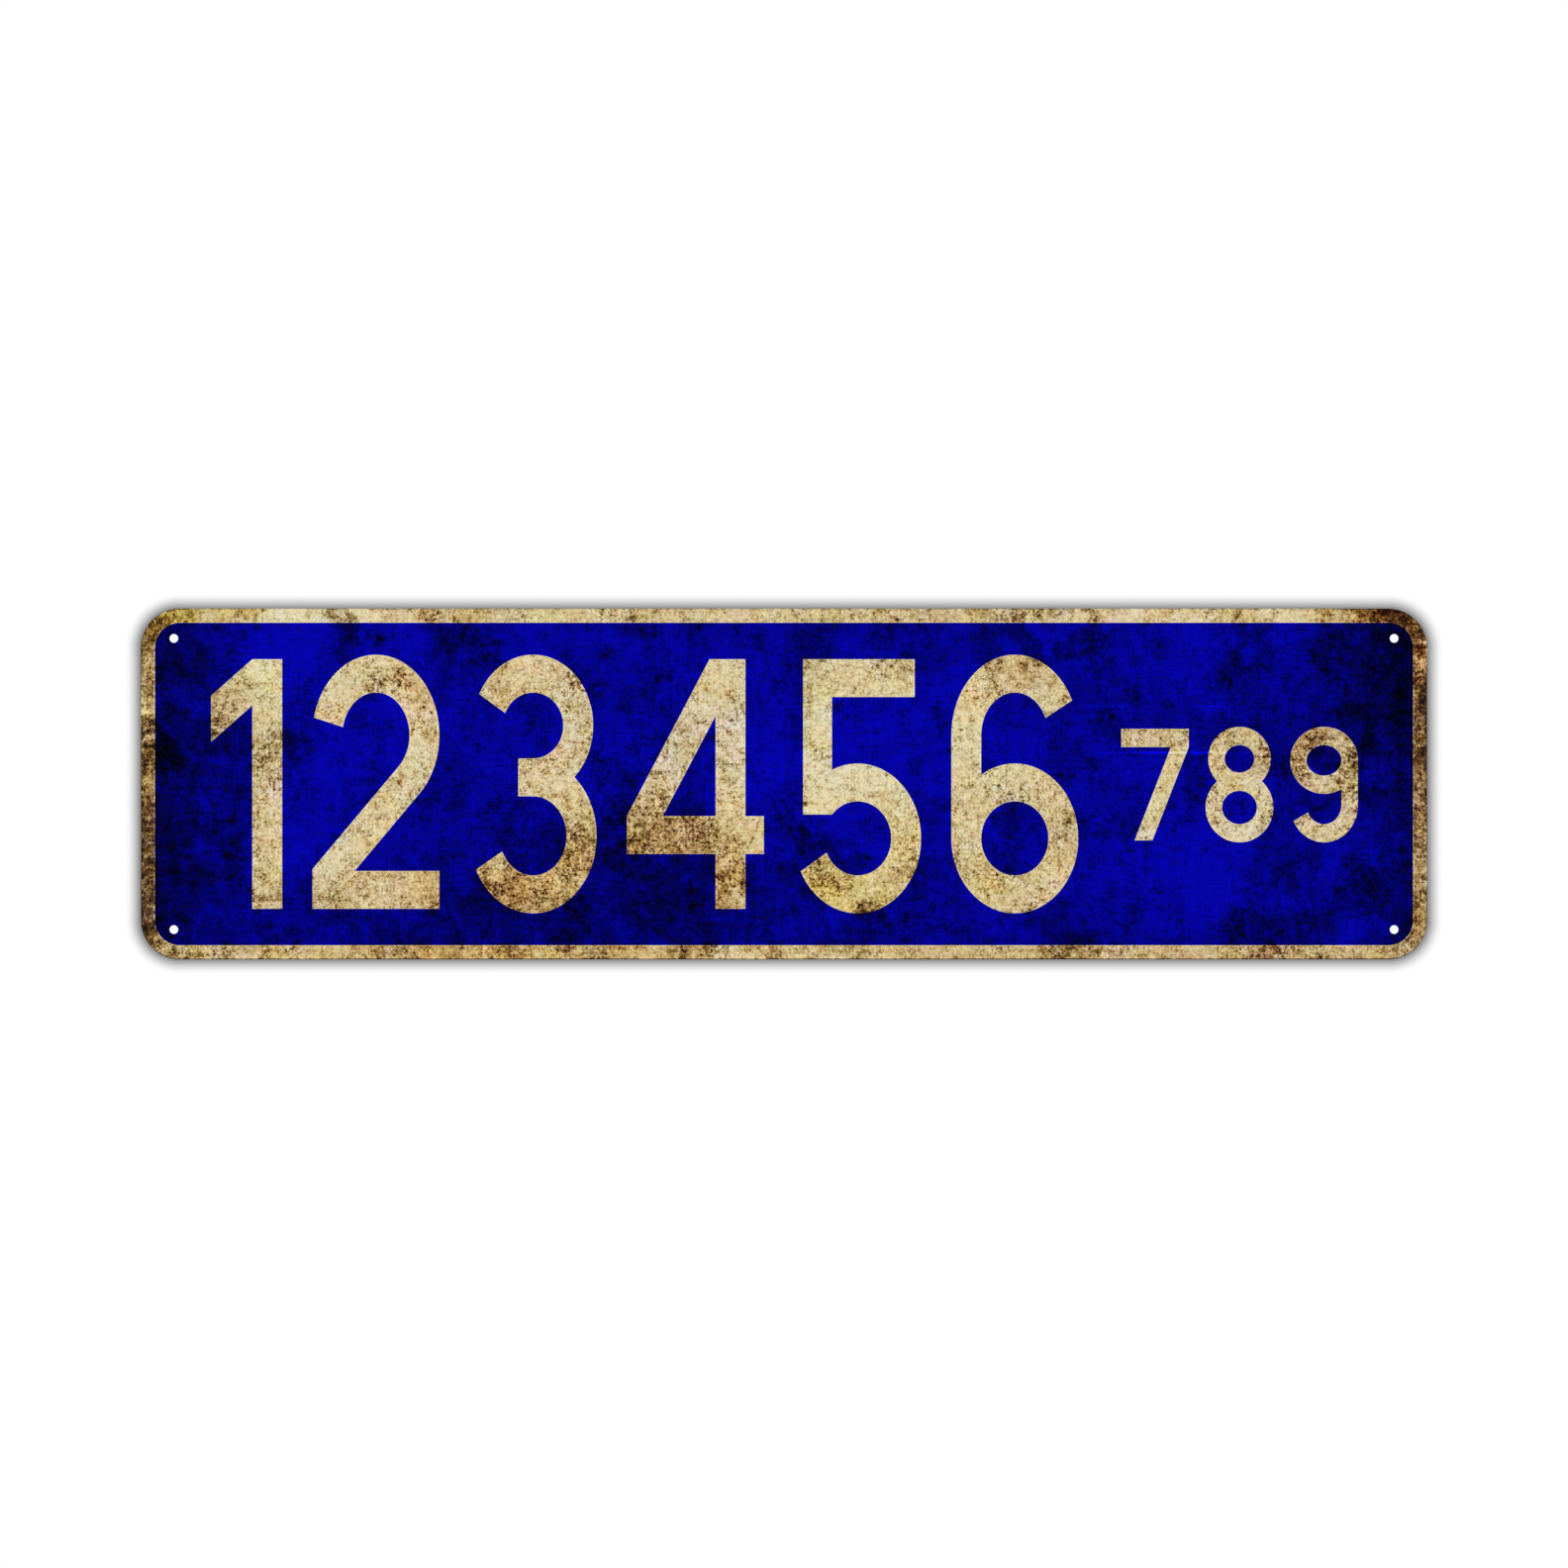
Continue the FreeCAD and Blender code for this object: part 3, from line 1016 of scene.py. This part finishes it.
def zero(cell):
    """Two half circles joined by straight sides."""
    line = np.vstack([cell.top_turn(0, 180), cell.bottom_turn(180, 360)])
    return cell.width, [ribbon(line, cell.stroke, closed=True)]


def one(cell):
    """A narrow numeral: a stem with a slanted flag."""
    narrow = 0.56 * cell.width
    inner = narrow - cell.stroke
    drop = 0.7 * inner
    thick = 1.22 * cell.stroke
    high = cell.height
    flag = polygon((0, high - drop - thick), (inner, high - thick), (inner, high), (0, high - drop))
    return narrow, [slab(inner, narrow, 0, high), flag]


def two(cell):
    """A round top that runs on into a straight slant, down to a level foot.

    The slant's upper side starts in the foot's corner and touches the inside of the round top. The turn ends
    at that place, which is arccos(inner radius / distance of the corner) past the corner's own direction.
    """
    centre = np.array([cell.middle, cell.top - cell.bend])
    corner = np.array([0.0, 1.05 * cell.stroke])
    away = corner - centre
    inside, outside = cell.bend - cell.stroke / 2, cell.bend + cell.stroke / 2
    end = np.arctan2(away[1], away[0]) + np.arccos(inside / np.linalg.norm(away))
    spoke = np.array([np.cos(end), np.sin(end)])
    down = np.array([spoke[1], -spoke[0]])
    outer, inner = centre + spoke * outside, centre + spoke * inside
    foot = outer + down * (cell.stroke / 2 - outer[1]) / down[1]
    curve = cell.top_turn(168, float(np.degrees(end)))
    bent = ribbon(np.vstack([curve, curve[-1:] + down * cell.stroke]), cell.stroke)
    slant = polygon(corner, (0.0, cell.stroke / 2), foot, outer, inner)
    return cell.width, [bent, slant, slab(0, cell.width, 0, cell.stroke)]


def three(cell):
    """A small round over a large one, both open to the left, with a short bar where they meet."""
    waist = cell.bottom + 2 * cell.lower
    upper = ribbon(arc(*cell.upper_shape(0.93), 155, -90), cell.stroke)
    lower = ribbon(arc(*cell.lower_shape(), 90, -155), cell.stroke)
    bar_left, bar_right = cell.middle - 0.5 * cell.stroke, cell.middle + 0.1 * cell.stroke
    bar = slab(bar_left, bar_right, waist - cell.stroke / 2, waist + cell.stroke / 2)
    return cell.width, [upper, lower, bar]


def four(cell):
    """A wide numeral: a slant, a stem, and a level bar that reaches a little past the stem."""
    wide = 1.08 * cell.width
    stem_right = wide - 0.62 * cell.stroke
    low = 0.22 * cell.height
    high = low + cell.stroke
    lean = np.arctan2(cell.height - high, stem_right - 1.2 * cell.stroke)
    thick = cell.stroke / np.sin(lean)
    slant = polygon((0, high), (thick, high), (stem_right, cell.height), (stem_right - thick, cell.height))
    stem = slab(stem_right - cell.stroke, stem_right, 0, cell.height)
    return wide, [slant, stem, slab(0, wide, low, high)]


def five(cell):
    """A level bar, a short neck and a bowl that starts at the neck's inner side."""
    left, right = 0.07 * cell.width, cell.width - 0.05 * cell.width
    bar = slab(left, right, cell.height - cell.stroke, cell.height)
    start = np.degrees(np.arccos((left + cell.stroke - cell.middle) / (cell.bend - cell.stroke / 2)))
    bowl = ribbon(arc(*cell.bowl_shape(), start, -155), cell.stroke)
    neck_right, neck_foot = bowl[0][0]
    return cell.width, [bar, slab(left, neck_right, neck_foot, cell.height), bowl]


def six(cell):
    """A bowl closed to a ring, and a hook that comes down from the top into its left side."""
    hook = np.vstack([cell.top_turn(25, 180), [[cell.stroke / 2, cell.bottom + cell.bowl]]])
    return cell.width, [ring(*cell.bowl_shape(), cell.stroke), ribbon(hook, cell.stroke)]


def seven(cell):
    """A level bar and a slant cut level at its foot."""
    low = cell.height - cell.stroke
    foot = 0.2 * cell.width
    lean = np.arctan2(low, cell.width - foot - 1.1 * cell.stroke)
    thick = cell.stroke / np.sin(lean)
    slant = polygon((foot, 0), (foot + thick, 0), (cell.width, low), (cell.width - thick, low))
    return cell.width, [slab(0, cell.width, low, cell.height), slant]


def eight(cell):
    """A small ring over a large one."""
    upper = ring(*cell.upper_shape(0.9), cell.stroke)
    return cell.width, [upper, ring(*cell.lower_shape(), cell.stroke)]


def nine(cell):
    """A six turned upside down."""
    width, strokes = six(cell)
    return width, [((width, cell.height) - points, faces) for points, faces in strokes]


NUMERALS = dict(zip("0123456789", (zero, one, two, three, four, five, six, seven, eight, nine)))


def numeral(digit, width, height, stroke):
    """How wide a numeral is itself, which can differ from width, and its strokes, in a plain painted hand.

    Round strokes are bands of the stroke's width along ellipses and straight lines. Straight strokes are
    slabs and slants cut level.
    """
    if digit not in NUMERALS:
        raise ValueError(f"the sign has no numeral {digit!r}")
    return NUMERALS[digit](Cell(width, height, stroke))


def united(shapes):
    """The outline of flat shapes laid over each other: its points, and for each the index of the next one.

    The shapes are cut into triangles together, and the outline is the sides that only one kept triangle has.
    It runs anticlockwise round the outside and clockwise round each opening.
    """
    starts = np.cumsum([0] + [len(points) for points, _ in shapes])
    points = np.vstack([points for points, _ in shapes])
    faces = []
    for (_, own), start in zip(shapes, starts):
        faces += [[corner + int(start) for corner in face] for face in own]
    laid, _, cut, _, _, sources = delaunay_2d_cdt(points.tolist(), [], faces, INSIDE_FACES, NEARLY, True)
    laid = np.array([tuple(point) for point in laid])
    kept = np.array([face for face, source in zip(cut, sources) if source])
    sides = np.vstack([kept[:, [0, 1]], kept[:, [1, 2]], kept[:, [2, 0]]])
    code, mirrored = sides @ (len(laid), 1), sides @ (1, len(laid))
    outline = sides[~np.isin(code, mirrored)]
    used, compact = np.unique(outline[:, 0], return_inverse=True)
    following = np.empty(len(used), int)
    following[compact] = np.searchsorted(used, outline[:, 1])
    return laid[used], following


def loops(*rings):
    """The outline of a flat shape given as closed rings: anticlockwise outside, clockwise for an opening."""
    starts = np.cumsum([0] + [len(own) for own in rings])
    following = [start + np.roll(np.arange(len(own)), -1) for own, start in zip(rings, starts)]
    return np.vstack(rings), np.concatenate(following)


def filled(points, following):
    """Triangles that fill an outline and leave its openings open.

    A triangle is kept where a level line from its middle to the right crosses the outline an odd number of
    times.
    """
    sides = np.stack([np.arange(len(points)), following], axis=1)
    flat, cuts = points.tolist(), sides.tolist()
    laid, _, cut, sources, _, _ = delaunay_2d_cdt(flat, cuts, [], WHOLE_HULL, NEARLY, True)
    if len(laid) != len(points) or not all(sources):
        raise RuntimeError("the outline crosses or touches itself, so it can't be filled")
    triangles = np.array([source[0] for source in sources])[np.array(cut)]
    middle = points[triangles].mean(axis=1)[:, None, :]
    start, end = points[None, :, :], points[following][None, :, :]
    spans = (start[..., 1] > middle[..., 1]) != (end[..., 1] > middle[..., 1])
    rise = np.where(spans, end[..., 1] - start[..., 1], 1.0)
    crossing = start[..., 0] + (middle[..., 1] - start[..., 1]) * (end[..., 0] - start[..., 0]) / rise
    inside = np.sum(spans & (crossing > middle[..., 0]), axis=1) % 2 == 1
    return triangles[inside]


def lay_ink(name, outline, below, settings, material):
    """A closed layer of ink with a flat top and a sloping shoulder along its edge.

    below is the y of the surface that it lies on. The layer is three rings of points with the outline's
    shape: the back, sunk in that surface; the foot of the shoulder, half as high as the layer; and its top,
    moved in by the shoulder's width. The rim attribute is 1 on the first two and 0 on the top.
    """
    points, following = outline
    count = len(points)
    before = np.empty(count, int)
    before[following] = np.arange(count)
    inward = sideways(points - points[before], points[following] - points) * settings.shoulder
    depths = (below + settings.sunk, below - settings.film / 2, below - settings.film)
    rings = (points, points, points + inward)
    vertices = np.vstack([np.insert(flat, 1, depth, axis=1) for flat, depth in zip(rings, depths)])
    here, there = np.arange(count), following
    wall = np.stack([here + count, here, there, there + count], axis=1)
    slope = np.stack([here + count, there + count, there + 2 * count, here + 2 * count], axis=1)
    cap = filled(points, following)
    faces = cap[:, ::-1].tolist() + wall.tolist() + slope.tolist() + (cap + 2 * count).tolist()
    mesh = bpy.data.meshes.new(name)
    mesh.from_pydata(vertices.tolist(), [], faces)
    rim = mesh.attributes.new("rim", "FLOAT", "POINT")
    rim.data.foreach_set("value", np.repeat([1.0, 1.0, 0.0], count))
    mesh.materials.append(material)
    piece = bpy.data.objects.new(name, mesh)
    bpy.context.scene.collection.objects.link(piece)
    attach(piece, BODY)


def print_row(name, row, below):
    """One row of numerals, spaced so that it fills its width, as one layer of cream ink.

    Each numeral is drawn with strokes as wide as a stem and then stretched upward, until its level strokes
    are as high as a bar.
    """
    stretch = row.bar / row.stem
    drawn = [numeral(digit, row.digit, row.height / stretch, row.stem) for digit in row.digits]
    spare = row.width - sum(width for width, _ in drawn)
    gap = spare / max(len(drawn) - 1, 1)
    pen = np.array([PLATE_LOW.x + row.left, PLATE_LOW.z + row.foot])
    shapes = []
    for width, strokes in drawn:
        shapes += [(pen + points * (1.0, stretch), faces) for points, faces in strokes]
        pen = pen + (width + gap, 0.0)
    settings = bpy.context.scene.sign_print
    lay_ink(name, united(shapes), below, settings, shared_material(cream_ink))


def shared_material(make):
    """The material that this function makes, made once and used by every piece that asks for it."""
    name = make.__name__.replace("_", " ")
    return bpy.data.materials.get(name) or make()


class SIGN_OT_plate(bpy.types.Operator):
    """Finish the plate with its cream coat and its bare metal back"""

    bl_idname = "sign.finish_plate"
    bl_label = "Finish Plate"

    def execute(self, context):
        plate = frame["nodes"][PLATE]
        plate.data.materials.clear()
        plate.data.materials.append(shared_material(coated_sheet))
        return {"FINISHED"}


class SIGN_OT_field(bpy.types.Operator):
    """Print the blue field, with an opening round each screw hole"""

    bl_idname = "sign.print_field"
    bl_label = "Print Blue Field"

    def execute(self, context):
        settings = context.scene.sign_print
        half_width, half_height, radius = field_size(settings)
        across, up = half_width - radius, half_height - radius
        corners = ((1, 1, 0), (-1, 1, 90), (-1, -1, 180), (1, -1, 270))
        edge = [arc((x * across, z * up), (radius, radius), start, start + 90) for x, z, start in corners]
        clear = HOLE_RADIUS + settings.hole_margin
        centres = [(x * HOLE_ACROSS, z * HOLE_UP) for x in (-1, 1) for z in (-1, 1)]
        openings = [arc(centre, (clear, clear), 360, 0)[:-1] for centre in centres]
        outline = loops(np.vstack(edge), *openings)
        lay_ink("blue_field", outline, PLATE_FRONT, settings, shared_material(blue_ink))
        return {"FINISHED"}


class SIGN_OT_numerals(bpy.types.Operator):
    """Print the large and the small row of numerals on the blue field"""

    bl_idname = "sign.print_numerals"
    bl_label = "Print Numerals"

    def execute(self, context):
        below = PLATE_FRONT - context.scene.sign_print.film
        print_row("large_numbers", context.scene.sign_large, below)
        print_row("small_numbers", context.scene.sign_small, below)
        return {"FINISHED"}


def studio_world(ambient):
    """White wherever the camera or a reflection looks, and an even light of this strength on the sign."""
    world = bpy.data.worlds.new("studio")
    wires = empty_tree(world)
    path = wires.node("ShaderNodeLightPath").outputs
    seen = wires.math("MAXIMUM", path["Is Camera Ray"], path["Is Glossy Ray"])
    seen = wires.math("MAXIMUM", seen, path["Is Transmission Ray"])
    strength = wires.math("MULTIPLY_ADD", seen, 1.0 - ambient, ambient)
    sky = wires.node("ShaderNodeBackground", {"Color": WHITE, "Strength": strength})
    wires.node("ShaderNodeOutputWorld", {"Surface": sky.outputs[0]})
    return world


def glowing(wires, colour_shown):
    """A surface that shows this colour whatever light falls on it."""
    return wires.node("ShaderNodeEmission", {"Color": colour_shown, "Strength": 1.0}).outputs[0]


def either(wires, factor, first, second):
    """A mix of two shaders: the first where factor is 0, the second where it is 1."""
    return wires.node("ShaderNodeMixShader", {0: factor, 1: first, 2: second}).outputs[0]


def wall_material(corner, shadow):
    """A white wall with a soft shadow close round the sign, seen by the camera from the front alone.

    The shadow is darkest at the sign's outline and fades outward. Rays of any other kind pass through, so
    that the wall takes no light from the sign's back.
    """
    material, wires, place, surface = bare_material("wall")
    flat = use_group(wires, sheet_place, {"Position": place})["Place"]
    past = past_outline(wires, flat, PLATE_WIDTH / 2 + SHADOW_SIDES, PLATE_HEIGHT / 2, corner)
    stops = [(at, linear(grey, grey, grey)) for at, grey in SHADOW_GREYS.items()] + [(1.0, WHITE)]
    fade = wires.ramp(wires.math("DIVIDE", past, shadow), stops)
    shade = wires.blend(wires.math("LESS_THAN", past, -SHADOW_END), fade, WHITE)
    camera = wires.node("ShaderNodeLightPath").outputs["Is Camera Ray"]
    behind = wires.node("ShaderNodeNewGeometry").outputs["Backfacing"]
    seen = wires.math("MULTIPLY", camera, wires.math("SUBTRACT", 1.0, behind))
    clear = wires.node("ShaderNodeBsdfTransparent").outputs[0]
    wires.fill(surface, either(wires, seen, clear, glowing(wires, shade)))
    return material


def floor_material():
    """Pale matt paint, mottled a very little, that fades into white away from the sign."""
    material, wires, place, surface = bare_material("floor")
    dark, light = ((grey, grey, grey) for grey in FLOOR_GREYS)
    paint = wires.blend(wires.noise(place, "floor paint"), dark, light)
    matt = wires.node("ShaderNodeBsdfPrincipled", {"Base Color": paint, "Roughness": FLOOR_ROUGHNESS})
    away = wires.vector("LENGTH", wires.vector("MULTIPLY", place, (1.0, 1.0, 0.0)), output="Value")
    path = wires.node("ShaderNodeLightPath").outputs
    seen = wires.math("MAXIMUM", path["Is Camera Ray"], path["Is Glossy Ray"])
    faded = wires.math("MULTIPLY", seen, wires.smooth(away, *FLOOR_FADE))
    wires.fill(surface, either(wires, faded, matt.outputs[0], glowing(wires, WHITE)))
    return material


def flat_sheet(name, corners, material):
    """One flat four-sided piece of the stage, its corners anticlockwise as seen from the side that shows."""
    mesh = bpy.data.meshes.new(name)
    mesh.from_pydata(corners, [], [(0, 1, 2, 3)])
    mesh.materials.append(material)
    sheet = bpy.data.objects.new(name, mesh)
    bpy.context.scene.collection.objects.link(sheet)


def soft_lamp(name, place, size, power):
    """A square lamp that faces the middle of the sign."""
    light = bpy.data.lights.new(name, "AREA")
    light.size = size
    light.energy = power
    lamp = bpy.data.objects.new(name, light)
    lamp.location = place
    lamp.rotation_euler = (-Vector(place)).to_track_quat("-Z", "Y").to_euler()
    bpy.context.scene.collection.objects.link(lamp)


def front_camera(settings):
    """A camera that looks square on at the front of the sign, and sees as much of it as the settings say."""
    lens = bpy.data.cameras.new("camera")
    lens.lens = settings.lens
    lens.sensor_width = settings.sensor
    camera = bpy.data.objects.new("camera", lens)
    distance = settings.view_width * settings.lens / settings.sensor
    camera.location = (0.0, PLATE_FRONT - distance, 0.0)
    camera.rotation_euler = (np.pi / 2, 0.0, 0.0)
    bpy.context.scene.collection.objects.link(camera)
    return camera


class SIGN_OT_stage(bpy.types.Operator):
    """Stand the sign in a plain studio, with a wall, a floor, soft lamps and a camera"""

    bl_idname = "sign.build_stage"
    bl_label = "Build Stage"

    def execute(self, context):
        settings = context.scene.sign_stage
        context.scene.world = studio_world(settings.ambient)
        wall_y = PLATE_BACK + settings.wall_gap
        floor_z = -settings.floor_drop
        reach = settings.reach
        wall = wall_material(context.scene.sign_print.plate_corner, settings.shadow)
        upright = ((-reach, floor_z), (reach, floor_z), (reach, reach), (-reach, reach))
        flat_sheet("wall", [(x, wall_y, z) for x, z in upright], wall)
        level = ((-reach, -reach), (reach, -reach), (reach, wall_y), (-reach, wall_y))
        flat_sheet("floor", [(x, y, floor_z) for x, y in level], floor_material())
        for name, lamp in LAMPS.items():
            soft_lamp(name, **lamp)
        context.scene.camera = front_camera(settings)
        context.scene.view_settings.view_transform = "Standard"
        return {"FINISHED"}


OPERATORS = (SIGN_OT_plate, SIGN_OT_field, SIGN_OT_numerals, SIGN_OT_stage)
SETTINGS = {
    "sign_print": SIGN_PG_print,
    "sign_large": SIGN_PG_large,
    "sign_small": SIGN_PG_small,
    "sign_colours": SIGN_PG_colours,
    "sign_stage": SIGN_PG_stage,
}


class SIGN_PT_panel(bpy.types.Panel):
    """Lists the sign's settings and the steps that dress it"""

    bl_idname = "SIGN_PT_panel"
    bl_label = "Street Name Sign"
    bl_space_type = "VIEW_3D"
    bl_region_type = "UI"
    bl_category = "Sign"

    def draw(self, context):
        for operator in OPERATORS:
            self.layout.operator(operator.bl_idname)
        for name, group in SETTINGS.items():
            box = self.layout.box()
            for setting in group.__annotations__:
                box.prop(getattr(context.scene, name), setting)


def register():
    for group in SETTINGS.values():
        bpy.utils.register_class(group)
    for name, group in SETTINGS.items():
        setattr(bpy.types.Scene, name, PointerProperty(type=group))
    for operator in OPERATORS:
        bpy.utils.register_class(operator)
    bpy.utils.register_class(SIGN_PT_panel)


def unregister():
    bpy.utils.unregister_class(SIGN_PT_panel)
    for operator in reversed(OPERATORS):
        bpy.utils.unregister_class(operator)
    for name, group in SETTINGS.items():
        delattr(bpy.types.Scene, name)
        bpy.utils.unregister_class(group)


def main():
    """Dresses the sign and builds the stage."""
    register()
    bpy.ops.sign.finish_plate()
    bpy.ops.sign.print_field()
    bpy.ops.sign.print_numerals()
    bpy.ops.sign.build_stage()


if __name__ == "__main__":
    main()
